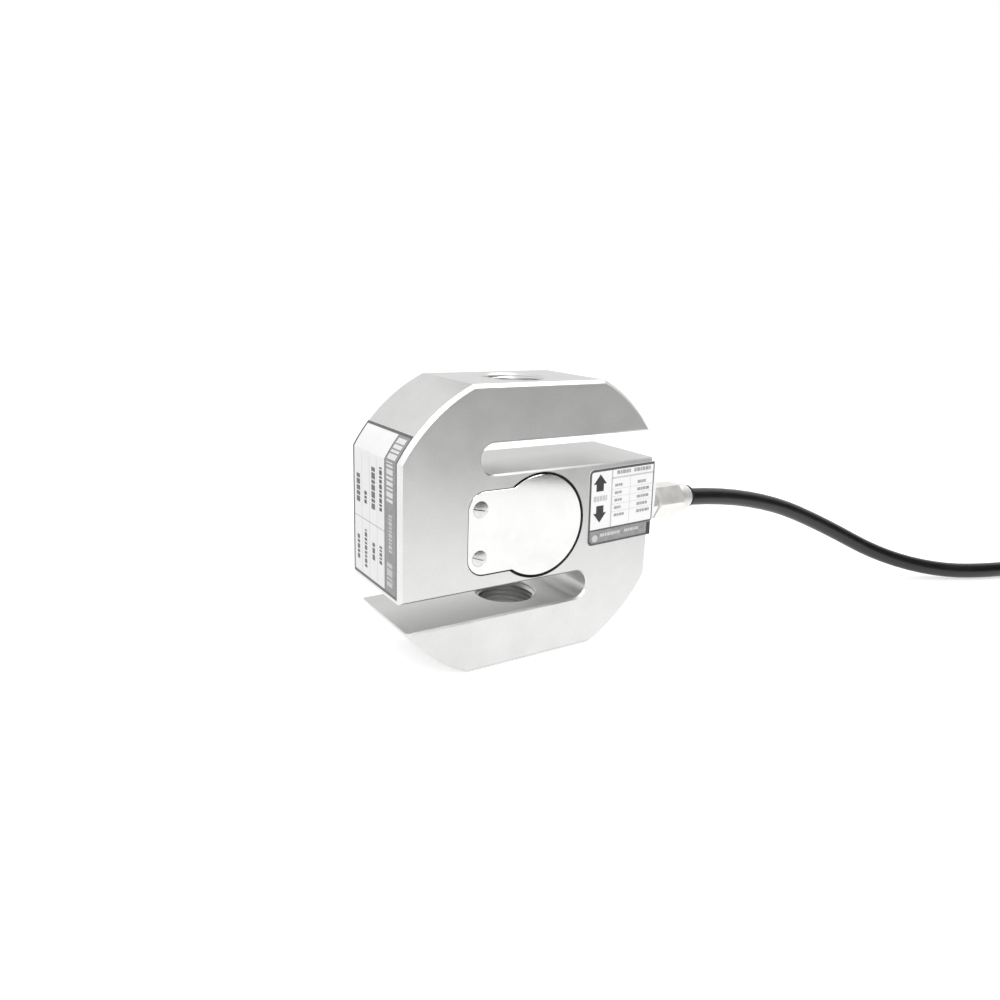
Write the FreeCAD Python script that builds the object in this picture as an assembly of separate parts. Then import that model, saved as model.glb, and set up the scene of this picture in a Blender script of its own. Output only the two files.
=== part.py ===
import FreeCAD, Part
import math
import os

# S type load cell. Millimetres, +Z along the load axis, the front face towards -Y.
# The origin is the centre of the bottom flat, on the axis of the threaded holes.

# Body: a thick disc with four milled flats, cut to an S by two slots
body_width = 85.0
body_height = 80.0
body_thickness = 30.0
top_flat_length = 43.0
side_flat_length = 42.0
corner_radius = 46.5
edge_chamfer = 1.0

# Slots, open to the right above and to the left below
block_height = 32.0
slot_gap = 8.5
slot_end_reach = 18.9
slot_edge_break = 0.5

# Threaded holes for rod ends or eye bolts, plain here at the thread's major radius
thread_radius = 9.0
thread_mouth_chamfer = 0.9
thread_inner_break = 0.4

# Gauge pockets, one from each face, with the measuring web between them
pocket_centre_x = 0.8
pocket_radius = 13.0
web_thickness = 3.0
web_hole_radius = 1.2
web_hole_offset_x = 8.5
web_hole_drop = 6.0

# Cover plates, round with a lobe that takes the screws
cover_radius = 14.6
cover_thickness = 1.2
cover_edge_break = 0.15
cover_ring_gap = 0.75
lobe_reach = 23.1
lobe_half_height = 11.7
lobe_corner_radius = 5.0
lobe_gap = 0.25
gasket_thickness = 0.3
gasket_edge_clearance = 0.05

# Countersunk cover screws
screw_reach = 19.5
screw_half_spacing = 6.85
screw_thread_radius = 1.25
screw_head_radius = 2.3
screw_head_height = 1.05
screw_length = 6.5
screw_slot_width = 0.6
screw_slot_depth = 0.55
screw_clearance = 0.05
screw_hole_spare = 1.0

# Gauges, terminal board and trim resistors
gauge_width = 9.0
gauge_height = 7.0
gauge_film = 0.12
gauge_tab = 0.8
gauge_tab_height = 0.1
gauge_tab_inset = 0.3
tab_pitch = 2.2
board_width = 10.0
board_height = 4.5
board_thickness = 0.8
board_drop = 8.4
pad_inset = 1.0
pad_radius = 0.55
pad_height = 0.15
resistor_size = (1.6, 0.5, 0.8)

# Cable gland in the right flat
gland_axis_y = -8.0
gland_axis_z = body_height / 2
gland_thread_radius = 4.0
gland_thread_depth = 8.0
gland_thread_clearance = 0.05
gland_across_flats = 10.0
gland_washer_radius = 4.8
gland_washer_thickness = 0.8
gland_flange_length = 4.2
gland_collar_radius = 3.9
gland_collar_length = 6.5
gland_bore_clearance = 0.25
gland_nut_gap = 0.7
gland_nut_hex_length = 10.5
gland_nose_length = 5.2
gland_nose_radius = 3.8
gland_nose_clearance = 0.45
gland_spigot_end_gap = 0.5
gland_nose_base_drop = 0.2
gland_nose_straight = 1.6
gland_nose_round = (0.6, 0.35)
gland_nut_inner_room = 2.5
gland_nut_wall = 0.5
gland_seal_lip = 1.6
gland_seal_relief = 0.2
gland_seal_collar = 2.4
gland_seal_fit = 0.1
gland_seal_lip_inset = 0.2
gland_seal_lip_bevel = 0.4
hex_corner_bevel = 0.45
wire_passage_radius = 2.25

# Labels
label_thickness = 0.15
rating_label_width = 28.0
rating_label_lift = 1.0
rating_label_rise = 8.0
wiring_label_left = 17.9
wiring_label_bottom = 31.2
wiring_label_top = 54.3
wiring_label_band = 4.6
wiring_label_overhang = 0.5
wiring_label_bow = 1.0
wiring_label_corner = 1.6
wiring_label_turn = 1.7
wiring_label_lift = 0.3

# Cable and its cores
cable_radius = 2.8
cable_start_x = 52.0
core_radius = 0.55
core_spread = 0.65
core_bend_reach = 6.5
core_pad_loop = 3.3
bridge_wire_radius = 0.12
bridge_wire_side = 0.25
bridge_wire_loop = 1.0
bridge_lane_pitch = 0.36
bridge_lane_lift = 1.1

# The route of the cable from inside the gland to the coil
cable_points = [
    (cable_start_x, gland_axis_y, gland_axis_z),
    (71.0, gland_axis_y, gland_axis_z),
    (106.0, -9.0, 33.8),
    (133.0, -13.0, 22.8),
    (159.0, -22.0, 9.0),
    (182.0, -34.5, 2.9),
    (205.0, -44.9, 2.9),
    (233.0, -49.7, 2.9),
    (266.0, -50.1, 2.9),
    (302.0, -46.9, 2.9),
    (338.0, -48.8, 3.1),
    (373.9, -50.1, 3.8),
]

# Coil of the put-away length, held by a tie
coil_centre_x = 375.0
coil_centre_y = -17.9
coil_turns_across = 3
coil_layers = 6
coil_pitch = 5.7
coil_middle_radius = 26.5
coil_corner_radius = 2.7
tie_thickness = 1.0
tie_width = 4.6
tie_angle = 310.0
tie_lock = (5.0, 6.0, 4.2)
tie_lock_drop = 4.0

# The free end of the cable, from the coil's top layer down its side to the floor
tail_points = [
    (361.3, 11.3, 32.3),
    (343.2, 2.9, 30.4),
    (328.7, -9.0, 20.6),
    (316.0, -21.0, 9.6),
    (301.0, -27.5, 4.7),
    (283.5, -30.0, 3.5),
]

# Heat-shrunk sleeve and the leads that leave it, as sideways and upward starts and
# the sideways place of the end
sleeve_wall = 0.4
sleeve_overlap = 9.0
sleeve_overhang = 3.0
lead_radius = 0.65
shield_radius = 0.5
lead_runs = (8.0, 9.5, 9.5)
lead_fan_share = 0.65
lead_floor_clearance = 0.02
lead_tip_radius = 0.42
lead_tip_length = 6.0
lead_places = [
    ("lead_red", -0.85, -0.85, -7.0, lead_radius),
    ("lead_white", -0.85, 0.85, -3.0, lead_radius),
    ("lead_shield", 0.0, 0.0, 0.8, shield_radius),
    ("lead_green", 0.85, 0.85, 4.4, lead_radius),
    ("lead_black", 0.85, -0.85, 8.4, lead_radius),
]

half_width = body_width / 2
half_thickness = body_thickness / 2
mid_height = body_height / 2
slot_radius = slot_gap / 2
upper_slot_floor = mid_height + block_height / 2
lower_slot_ceiling = mid_height - block_height / 2
arm_height = mid_height - block_height / 2 - slot_gap
recess_depth = cover_thickness + gasket_thickness
web_face = web_thickness / 2
pocket_depth = half_thickness - web_face
X_AXIS = FreeCAD.Vector(1, 0, 0)
Y_AXIS = FreeCAD.Vector(0, 1, 0)
Z_AXIS = FreeCAD.Vector(0, 0, 1)


def vec(x, y, z):
    return FreeCAD.Vector(x, y, z)


def block(x0, x1, y0, y1, z0, z1):
    return Part.makeBox(x1 - x0, y1 - y0, z1 - z0, vec(x0, y0, z0))


def fused(shapes):
    whole = shapes[0]
    for shape in shapes[1:]:
        whole = whole.fuse(shape)
    return whole.removeSplitter()


def mirrored_to_back(shape):
    return shape.mirror(vec(0, 0, 0), Y_AXIS)


# ---- body outline ----

def corner_arc_centre():
    """Centre of the upper right corner arc, as x and height above mid-height."""
    ax, az = top_flat_length / 2, mid_height
    bx, bz = half_width, side_flat_length / 2
    chord = math.hypot(bx - ax, bz - az)
    to_centre = math.sqrt(corner_radius ** 2 - (chord / 2) ** 2)
    inward_x, inward_z = (bz - az) / chord, (ax - bx) / chord
    return (ax + bx) / 2 + inward_x * to_centre, (az + bz) / 2 + inward_z * to_centre


def corner_point(angle, radius):
    """Point of the upper right corner arc, as x and height above mid-height."""
    cx, cz = corner_arc_centre()
    return cx + radius * math.cos(angle), cz + radius * math.sin(angle)


def corner_angles():
    """Angles at which the corner arc meets the side flat and the top flat."""
    cx, cz = corner_arc_centre()
    at_side = math.atan2(side_flat_length / 2 - cz, half_width - cx)
    at_top = math.atan2(mid_height - cz, top_flat_length / 2 - cx)
    return at_side, at_top


def outline_wire():
    at_side, at_top = corner_angles()
    arc = [corner_point(a, corner_radius) for a in (at_top, (at_top + at_side) / 2, at_side)]
    points = []
    for sx, sz, order in ((1, 1, 1), (1, -1, -1), (-1, -1, 1), (-1, 1, -1)):
        points.append([vec(sx * x, -half_thickness, mid_height + sz * z) for x, z in arc[::order]])
    edges = []
    for i, (start, middle, end) in enumerate(points):
        edges.append(Part.Arc(start, middle, end).toShape())
        edges.append(Part.LineSegment(end, points[(i + 1) % 4][0]).toShape())
    return Part.Wire(edges)


def rim_edges(shape):
    """Edges that lie in the front or the back face."""
    return [e for e in shape.Edges
            if e.BoundBox.YLength < 1e-6 and abs(abs(e.BoundBox.YMin) - half_thickness) < 1e-6]


# ---- slots, holes and pockets of the body ----

def slot_cutter(side, floor, grow, y0, y1):
    """Slot prism open towards +X for side 1 and -X for side -1, grown by grow."""
    radius = slot_radius + grow
    centre_z = floor + slot_radius
    centre_x = -side * (slot_end_reach - slot_radius)
    mouth_x = side * (half_width + 5)
    up, down = vec(0, 0, radius), vec(0, 0, -radius)
    inner = vec(centre_x, y0, centre_z)
    outer = vec(mouth_x, y0, centre_z)
    tip = inner + vec(-side * radius, 0, 0)
    wire = Part.Wire([
        Part.LineSegment(outer + up, inner + up).toShape(),
        Part.Arc(inner + up, tip, inner + down).toShape(),
        Part.LineSegment(inner + down, outer + down).toShape(),
        Part.LineSegment(outer + down, outer + up).toShape(),
    ])
    if y1 is None:
        return wire
    return Part.Face(wire).extrude(vec(0, y1 - y0, 0))


def slot_edge_cutter(side, floor, face):
    """Tapered rim of a slot at the front face (-1) or the back face (1)."""
    spare = 0.5
    deep = slot_cutter(side, floor, 0, face * (half_thickness - slot_edge_break), None)
    wide = slot_cutter(side, floor, slot_edge_break + spare, face * (half_thickness + spare), None)
    return Part.makeLoft([deep, wide], True, True)


def thread_cutter(z_outer, z_inner):
    """Threaded hole through one arm, with a chamfered mouth and a broken inner edge."""
    inward = 1 if z_inner > z_outer else -1
    direction = vec(0, 0, inward)
    depth = abs(z_inner - z_outer)
    hole = Part.makeCylinder(thread_radius, depth, vec(0, 0, z_outer), direction)
    mouth = Part.makeCone(thread_radius + thread_mouth_chamfer, thread_radius,
                          thread_mouth_chamfer, vec(0, 0, z_outer), direction)
    inner = Part.makeCone(thread_radius + thread_inner_break, thread_radius,
                          thread_inner_break, vec(0, 0, z_inner), vec(0, 0, -inward))
    return fused([hole, mouth, inner])


def cover_blank(y0, y1, ring_grow, lobe_grow):
    """Round plate with its lobe towards -X, between two depths."""
    disc = Part.makeCylinder(cover_radius + ring_grow, y1 - y0,
                             vec(pocket_centre_x, y0, mid_height), Y_AXIS)
    left = pocket_centre_x - lobe_reach - lobe_grow
    rise = lobe_half_height + lobe_grow
    lobe = block(left, pocket_centre_x, y0, y1, mid_height - rise, mid_height + rise)
    corners = [e for e in lobe.Edges
               if e.BoundBox.YLength > (y1 - y0) * 0.99 and abs(e.BoundBox.XMax - left) < 1e-6]
    return fused([disc, lobe.makeFillet(lobe_corner_radius + lobe_grow, corners)])


def screw_places():
    x = pocket_centre_x - screw_reach
    return [("upper", x, mid_height + screw_half_spacing),
            ("lower", x, mid_height - screw_half_spacing)]


def front_pocket_cutter():
    front = -half_thickness
    recess = cover_blank(front - 1, front + recess_depth, cover_ring_gap, lobe_gap)
    pocket = Part.makeCylinder(pocket_radius, pocket_depth,
                               vec(pocket_centre_x, front, mid_height), Y_AXIS)
    holes = [Part.makeCylinder(screw_thread_radius + screw_clearance,
                               screw_length + screw_hole_spare, vec(x, front, z), Y_AXIS)
             for _, x, z in screw_places()]
    return fused([recess, pocket] + holes)


def make_body():
    body = Part.Face(outline_wire()).extrude(vec(0, body_thickness, 0))
    body = body.makeChamfer(edge_chamfer, rim_edges(body))
    slots = [(1, upper_slot_floor), (-1, lower_slot_ceiling - slot_gap)]
    for side, floor in slots:
        body = body.cut(slot_cutter(side, floor, 0, -half_thickness - 1, half_thickness + 1))
        for face in (-1, 1):
            body = body.cut(slot_edge_cutter(side, floor, face))
    body = body.cut(thread_cutter(body_height, body_height - arm_height))
    body = body.cut(thread_cutter(0, arm_height))
    front = front_pocket_cutter()
    body = body.cut(front).cut(mirrored_to_back(front))
    web_hole = Part.makeCylinder(web_hole_radius, web_thickness + 2,
                                 vec(pocket_centre_x + web_hole_offset_x, -web_face - 1,
                                     mid_height - web_hole_drop), Y_AXIS)
    gland_axis = (gland_axis_y, gland_axis_z)
    gland_hole = Part.makeCylinder(gland_thread_radius, gland_thread_depth + 1,
                                   vec(half_width - gland_thread_depth, *gland_axis), X_AXIS)
    passage = Part.makeCylinder(wire_passage_radius, half_width - pocket_centre_x,
                                vec(pocket_centre_x, *gland_axis), X_AXIS)
    return body.cut(web_hole).cut(gland_hole).cut(passage)


# ---- covers, gaskets and screws ----

def countersink(y_face, x, z, grow):
    """Head cone and shank of a cover screw whose head is flush with y_face."""
    head = Part.makeCone(screw_head_radius + grow, screw_thread_radius + grow,
                         screw_head_height, vec(x, y_face, z), Y_AXIS)
    shank = Part.makeCylinder(screw_thread_radius + grow, screw_length, vec(x, y_face, z), Y_AXIS)
    return fused([head, shank])


def make_front_cover():
    front = -half_thickness
    plate = cover_blank(front, front + cover_thickness, 0, 0)
    rim = [e for e in plate.Edges if e.BoundBox.YLength < 1e-6 and abs(e.BoundBox.YMin - front) < 1e-6]
    plate = plate.makeChamfer(cover_edge_break, rim)
    for _, x, z in screw_places():
        plate = plate.cut(countersink(front, x, z, screw_clearance))
    return plate


def make_front_gasket():
    top = -half_thickness + cover_thickness
    sheet = cover_blank(top, top + gasket_thickness, cover_ring_gap - gasket_edge_clearance,
                        lobe_gap - gasket_edge_clearance)
    opening = Part.makeCylinder(pocket_radius, gasket_thickness,
                                vec(pocket_centre_x, top, mid_height), Y_AXIS)
    sheet = sheet.cut(opening)
    for _, x, z in screw_places():
        sheet = sheet.cut(countersink(-half_thickness, x, z, screw_clearance))
    return sheet


def make_front_screw(x, z, slot_turn):
    front = -half_thickness
    screw = countersink(front, x, z, 0)
    reach = screw_head_radius + 1
    slot = block(x - reach, x + reach, front - 1, front + screw_slot_depth,
                 z - screw_slot_width / 2, z + screw_slot_width / 2)
    slot.rotate(vec(x, front, z), Y_AXIS, slot_turn)
    return screw.cut(slot)


# ---- gauges, board and fine wires ----

def tab_places():
    return [pocket_centre_x + tab_pitch * (i - 1.5) for i in range(4)]


def tab_centre_z():
    return mid_height - gauge_height / 2 + gauge_tab_inset + gauge_tab / 2


def make_front_gauge():
    face = -web_face
    film = block(pocket_centre_x - gauge_width / 2, pocket_centre_x + gauge_width / 2,
                 face - gauge_film, face, mid_height - gauge_height / 2, mid_height + gauge_height / 2)
    base = tab_centre_z() - gauge_tab / 2
    tabs = [block(x - gauge_tab / 2, x + gauge_tab / 2, face - gauge_film - gauge_tab_height,
                  face - gauge_film, base, base + gauge_tab) for x in tab_places()]
    return fused([film] + tabs)


def board_face():
    return -web_face - board_thickness


def upper_pad_z():
    return mid_height - board_drop + board_height / 2 - pad_inset


def lower_pad_z():
    return mid_height - board_drop - board_height / 2 + pad_inset


def make_board():
    z = mid_height - board_drop
    plate = block(pocket_centre_x - board_width / 2, pocket_centre_x + board_width / 2,
                  board_face(), -web_face, z - board_height / 2, z + board_height / 2)
    pads = [Part.makeCylinder(pad_radius, pad_height, vec(x, board_face() - pad_height, pad_z), Y_AXIS)
            for x in tab_places() for pad_z in (upper_pad_z(), lower_pad_z())]
    return fused([plate] + pads)


def make_resistors():
    length, height, width = resistor_size
    z = mid_height - board_drop
    parts = []
    for x in (pocket_centre_x - board_width / 4, pocket_centre_x + board_width / 4):
        parts.append(block(x - length / 2, x + length / 2, board_face() - height, board_face(),
                           z - width / 2, z + width / 2))
    return Part.makeCompound(parts)


def rounded_route(points):
    """Straight runs joined by tangent arcs. Returns the wire and the arcs' radii."""
    points = [vec(*p) for p in points]
    runs = [(b - a).Length for a, b in zip(points, points[1:])]
    edges, radii, here = [], [], points[0]
    for i in range(1, len(points) - 1):
        back = (points[i - 1] - points[i]).normalize()
        ahead = (points[i + 1] - points[i]).normalize()
        reach = 0.45 * min(runs[i - 1], runs[i])
        half_turn = (math.pi - back.getAngle(ahead)) / 2
        radius = reach / math.tan(half_turn)
        start, end = points[i] + back * reach, points[i] + ahead * reach
        bisector = (back + ahead).normalize()
        middle = points[i] + bisector * (radius / math.cos(half_turn) - radius)
        edges.append(Part.LineSegment(here, start).toShape())
        edges.append(Part.Arc(start, middle, end).toShape())
        radii.append(radius)
        here = end
    edges.append(Part.LineSegment(here, points[-1]).toShape())
    return Part.Wire(edges), radii


def tube(points, radius):
    """Round tube along a rounded route."""
    wire, _ = rounded_route(points)
    start = vec(*points[0])
    along = vec(*points[1]) - start
    ring = Part.Wire(Part.Circle(start, along, radius).toShape())
    return wire.makePipeShell([ring], True, False)


def fine_wire(points):
    """Thin wire bent sharply at each point."""
    path = Part.makePolygon([vec(*p) for p in points])
    start = vec(*points[0])
    ring = Part.Wire(Part.Circle(start, vec(*points[1]) - start, bridge_wire_radius).toShape())
    return path.makePipeShell([ring], True, False, 1)


def make_front_bridge_wires():
    wires = []
    tab_z = tab_centre_z()
    tab_y = -web_face - gauge_film - gauge_tab_height
    pad_y = board_face() - pad_height
    for x in tab_places():
        x -= bridge_wire_side
        wires.append(fine_wire([(x, tab_y, tab_z), (x, tab_y - bridge_wire_loop, tab_z),
                                (x, pad_y - bridge_wire_loop, upper_pad_z()),
                                (x, pad_y, upper_pad_z())]))
    return Part.makeCompound(wires)


def make_rear_bridge_wires():
    """Fine wires from the rear gauge through the web hole to the board's upper pads."""
    wires = []
    tab_z = tab_centre_z()
    tab_y = web_face + gauge_film + gauge_tab_height
    pad_y = board_face() - pad_height
    hole_x = pocket_centre_x + web_hole_offset_x
    hole_z = mid_height - web_hole_drop
    for i, x in enumerate(tab_places()):
        x += bridge_wire_side
        lane = bridge_lane_pitch * (i - 1.5)
        out = bridge_wire_loop + bridge_lane_lift + lane
        wires.append(fine_wire([(x, tab_y, tab_z), (x, tab_y + out, tab_z),
                                (hole_x + lane, tab_y + out, hole_z),
                                (hole_x + lane, pad_y - out, hole_z),
                                (x, pad_y - out, upper_pad_z()), (x, pad_y, upper_pad_z())]))
    return Part.makeCompound(wires)


def make_cable_cores():
    """The cable's four cores from its end in the gland to the board."""
    cores = []
    pad_y = board_face() - pad_height
    places = [(-1, 1), (1, 1), (-1, -1), (1, -1)]
    for x, (front, up) in zip(tab_places(), places):
        y, z = gland_axis_y + front * core_spread, gland_axis_z + up * core_spread
        cores.append(tube([(cable_start_x, y, z), (x + core_bend_reach, y, z),
                           (x, pad_y - core_pad_loop, lower_pad_z()), (x, pad_y, lower_pad_z())],
                          core_radius))
    return Part.makeCompound(cores)


# ---- gland ----

def turned(profile):
    """Solid turned about the gland's axis from points of x and radius."""
    points = [vec(x, gland_axis_y, gland_axis_z + r) for x, r in profile]
    face = Part.Face(Part.makePolygon(points + points[:1]))
    return face.revolve(vec(0, gland_axis_y, gland_axis_z), X_AXIS, 360)


def hexagon(x0, x1):
    """Hexagonal bar on the gland's axis with bevelled corners at both ends."""
    corner = gland_across_flats / math.sqrt(3)
    points = [vec(x0, gland_axis_y + corner * math.cos(math.radians(60 * i)),
                  gland_axis_z + corner * math.sin(math.radians(60 * i))) for i in range(6)]
    bar = Part.Face(Part.makePolygon(points + points[:1])).extrude(vec(x1 - x0, 0, 0))
    bevel = hex_corner_bevel
    inner = corner - 2 * bevel
    return bar.common(turned([(x0, 0), (x0, inner), (x0 + bevel, corner), (x1 - bevel, corner),
                              (x1, inner), (x1, 0)]))


def gland_stations():
    """X of the washer's face, the flange's face, the nut's start, its nose and its end."""
    washer = half_width + gland_washer_thickness
    flange = washer + gland_flange_length
    nut = flange + gland_nut_gap
    nose = nut + gland_nut_hex_length
    return washer, flange, nut, nose, nose + gland_nose_length


def make_gland_washer():
    washer, _, _, _, _ = gland_stations()
    return turned([(half_width, gland_thread_radius), (half_width, gland_washer_radius),
                   (washer, gland_washer_radius), (washer, gland_thread_radius)])


def make_gland_body():
    washer, flange, _, _, _ = gland_stations()
    spigot = gland_thread_radius - gland_thread_clearance
    inner_end = half_width - gland_thread_depth + gland_spigot_end_gap
    collar_end = flange + gland_collar_length
    core = turned([(inner_end, 0), (inner_end, spigot), (washer, spigot), (washer, 0)])
    collar = turned([(flange, 0), (flange, gland_collar_radius), (collar_end, gland_collar_radius),
                     (collar_end, 0)])
    bore = turned([(inner_end - 1, 0), (inner_end - 1, cable_radius + gland_bore_clearance),
                   (collar_end + 1, cable_radius + gland_bore_clearance), (collar_end + 1, 0)])
    return fused([core, hexagon(washer, flange), collar]).cut(bore)


def make_gland_nut():
    _, flange, nut, nose, end = gland_stations()
    collar_end = flange + gland_collar_length
    cone_base = gland_across_flats / 2 - gland_nose_base_drop
    round_length, round_drop = gland_nose_round
    cone = turned([(nose, 0), (nose, cone_base), (nose + gland_nose_straight, cone_base),
                   (end - round_length, gland_nose_radius + round_drop),
                   (end, gland_nose_radius), (end, 0)])
    shell = fused([hexagon(nut, nose), cone])
    inside = gland_collar_radius + gland_thread_clearance
    nose_hole = cable_radius + gland_nose_clearance
    hollow = turned([(nut - 1, 0), (nut - 1, inside), (collar_end + gland_nut_inner_room, inside),
                     (nose + gland_nut_wall, nose_hole), (end + 1, nose_hole), (end + 1, 0)])
    return shell.cut(hollow)


def make_gland_seal():
    """Rubber bush that grips the cable and shows as a lip at the nut's nose."""
    _, flange, _, nose, end = gland_stations()
    collar_end = flange + gland_collar_length
    inside = gland_collar_radius
    nose_fit = cable_radius + gland_nose_clearance - gland_thread_clearance
    lip = end + gland_seal_lip
    lip_base = end + gland_seal_fit
    lip_radius = gland_nose_radius - gland_seal_lip_inset
    relief = cable_radius + gland_seal_relief
    bevel = gland_seal_lip_bevel
    return turned([(collar_end, cable_radius), (collar_end, inside),
                   (collar_end + gland_seal_collar, inside),
                   (nose + gland_nut_wall - gland_seal_fit, nose_fit), (lip_base, nose_fit),
                   (lip_base, lip_radius), (lip - bevel, lip_radius), (lip, relief + bevel / 2),
                   (lip, relief), (nose, relief), (nose - gland_nut_wall, cable_radius)])


# ---- labels ----

def make_rating_label():
    """Label on the left flat, folded over the corner on to the upper left curve."""
    at_side, _ = corner_angles()
    flat_top = mid_height + side_flat_length / 2
    bottom = lower_slot_ceiling + rating_label_lift
    half = rating_label_width / 2
    top_angle = at_side + rating_label_rise / corner_radius
    fold = label_thickness * math.tan(at_side / 2)
    outer_radius = corner_radius + label_thickness

    def at(angle, radius):
        x, z = corner_point(angle, radius)
        return vec(-x, -half, mid_height + z)

    middle_angle = (at_side + top_angle) / 2
    flat_in = vec(-half_width, -half, bottom)
    flat_out = vec(-half_width - label_thickness, -half, bottom)
    fold_in = vec(-half_width, -half, flat_top)
    fold_out = vec(-half_width - label_thickness, -half, flat_top + fold)
    arc_out = at(at_side, outer_radius)
    wire = Part.Wire([
        Part.LineSegment(flat_out, fold_out).toShape(),
        Part.LineSegment(fold_out, arc_out).toShape(),
        Part.Arc(arc_out, at(middle_angle, outer_radius), at(top_angle, outer_radius)).toShape(),
        Part.LineSegment(at(top_angle, outer_radius), at(top_angle, corner_radius)).toShape(),
        Part.Arc(at(top_angle, corner_radius), at(middle_angle, corner_radius), fold_in).toShape(),
        Part.LineSegment(fold_in, flat_in).toShape(),
        Part.LineSegment(flat_in, flat_out).toShape(),
    ])
    return Part.Face(wire).extrude(vec(0, rating_label_width, 0))


def make_wiring_label():
    """Label on the front face whose free right edge bows out past the body."""
    y = -half_thickness - label_thickness
    left, right = wiring_label_left, half_width + wiring_label_overhang
    low, high = wiring_label_bottom, wiring_label_top
    band_top = low + wiring_label_band
    r = wiring_label_corner
    k = r * (1 - math.sqrt(0.5))
    middle = (band_top + high) / 2
    points = [vec(left + r, y, high), vec(right, y, high), vec(right, y, band_top),
              vec(half_width, y, band_top), vec(half_width, y, low), vec(left + r, y, low),
              vec(left, y, low + r), vec(left, y, high - r)]
    wire = Part.Wire([
        Part.LineSegment(points[0], points[1]).toShape(),
        Part.Arc(points[1], vec(right + wiring_label_bow, y, middle), points[2]).toShape(),
        Part.LineSegment(points[2], points[3]).toShape(),
        Part.LineSegment(points[3], points[4]).toShape(),
        Part.LineSegment(points[4], points[5]).toShape(),
        Part.Arc(points[5], vec(left + k, y, low + k), points[6]).toShape(),
        Part.LineSegment(points[6], points[7]).toShape(),
        Part.Arc(points[7], vec(left + k, y, high - k), points[0]).toShape(),
    ])
    label = Part.Face(wire).extrude(vec(0, label_thickness, 0))
    label.rotate(vec((left + half_width) / 2, y, (low + high) / 2), vec(0, -1, 0), wiring_label_turn)
    label.translate(vec(0, 0, wiring_label_lift))
    return label


# ---- cable, coil and free end ----

def coil_size():
    """Inner and outer radius, floor and top of the wound coil."""
    half_across = (coil_turns_across - 1) * coil_pitch / 2 + cable_radius
    top = tie_thickness + (coil_layers - 1) * coil_pitch + 2 * cable_radius
    return coil_middle_radius - half_across, coil_middle_radius + half_across, tie_thickness, top


def make_coil():
    inner, outer, low, high = coil_size()
    section = Part.Face(Part.makePolygon([
        vec(inner, 0, low), vec(outer, 0, low), vec(outer, 0, high), vec(inner, 0, high),
        vec(inner, 0, low)]))
    ring = section.revolve(vec(0, 0, 0), Z_AXIS, 360)
    ring = ring.makeFillet(coil_corner_radius, [e for e in ring.Edges if e.BoundBox.XLength > 1
                                                and e.BoundBox.ZLength < 1e-6])
    ring.translate(vec(coil_centre_x, coil_centre_y, 0))
    return ring


def make_tie():
    """Flat strap round the coil's section, with its lock on the outside."""
    inner, outer, low, high = coil_size()
    r = coil_corner_radius
    strap_out = block(inner - tie_thickness, outer + tie_thickness, -tie_width / 2, tie_width / 2,
                      low - tie_thickness, high + tie_thickness)
    strap_in = block(inner, outer, -tie_width, tie_width, low, high)
    along_y = [e for e in strap_out.Edges if e.BoundBox.YLength > tie_width * 0.9]
    strap_out = strap_out.makeFillet(r + tie_thickness, along_y)
    along_y = [e for e in strap_in.Edges if e.BoundBox.YLength > tie_width * 1.9]
    strap_in = strap_in.makeFillet(r, along_y)
    depth, width, height = tie_lock
    lock = block(outer, outer + depth, -width / 2, width / 2,
                 high - tie_lock_drop - height, high - tie_lock_drop)
    coil = make_coil()
    coil.translate(vec(-coil_centre_x, -coil_centre_y, 0))
    strap = strap_out.fuse(lock).cut(strap_in).cut(coil).removeSplitter()
    strap.rotate(vec(0, 0, 0), Z_AXIS, tie_angle)
    strap.translate(vec(coil_centre_x, coil_centre_y, 0))
    return strap


def tail_end():
    """End of the jacket, its direction, and the ways to its left and upwards."""
    end = vec(*tail_points[-1])
    along = (end - vec(*tail_points[-2])).normalize()
    left = Z_AXIS.cross(along).normalize()
    return end, along, left, along.cross(left)


def make_sleeve():
    end, axis, _, _ = tail_end()
    length = sleeve_overlap + sleeve_overhang
    start = end - axis * sleeve_overlap
    outside = Part.makeCylinder(cable_radius + sleeve_wall, length, start, axis)
    return outside.cut(Part.makeCylinder(cable_radius, length, start, axis))


def lead_route(sideways, upward, end_sideways, radius):
    """Points of one lead, straight out of the jacket, down to the floor and along it."""
    end, along, left, up = tail_end()
    straight, fall, rest = lead_runs
    start = end + left * sideways + up * upward
    drop = start + along * straight
    laid = end + along * (straight + fall) + left * (lead_fan_share * end_sideways)
    out = end + along * (straight + fall + rest) + left * end_sideways
    laid.z = out.z = radius + lead_floor_clearance
    return [tuple(p) for p in (start, drop, laid, out)]


def make_lead(sideways, upward, end_sideways, radius):
    return tube(lead_route(sideways, upward, end_sideways, radius), radius)


def make_lead_tips():
    """Bare tinned ends of the insulated leads."""
    tips = []
    for _, sideways, upward, end_sideways, radius in lead_places:
        if radius == lead_radius:
            before, end = (vec(*p) for p in lead_route(sideways, upward, end_sideways, radius)[-2:])
            tips.append(Part.makeCylinder(lead_tip_radius, lead_tip_length, end, end - before))
    return Part.makeCompound(tips)


def report_route(name, points, shape):
    wire, radii = rounded_route(points)
    section = math.pi * cable_radius ** 2
    print(name, "length", round(wire.Length, 1), "volume share", round(shape.Volume / wire.Length / section, 4),
          "radii", [round(r, 1) for r in radii])


def save(name, shape):
    solids = shape.Solids
    clean = solids[0] if len(solids) == 1 else Part.makeCompound(solids)
    if not clean.isValid():
        print("not valid:", name)
    clean.exportStep("parts/" + name + ".step")
    print(name, len(solids), "solids", round(clean.Volume, 1))


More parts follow.
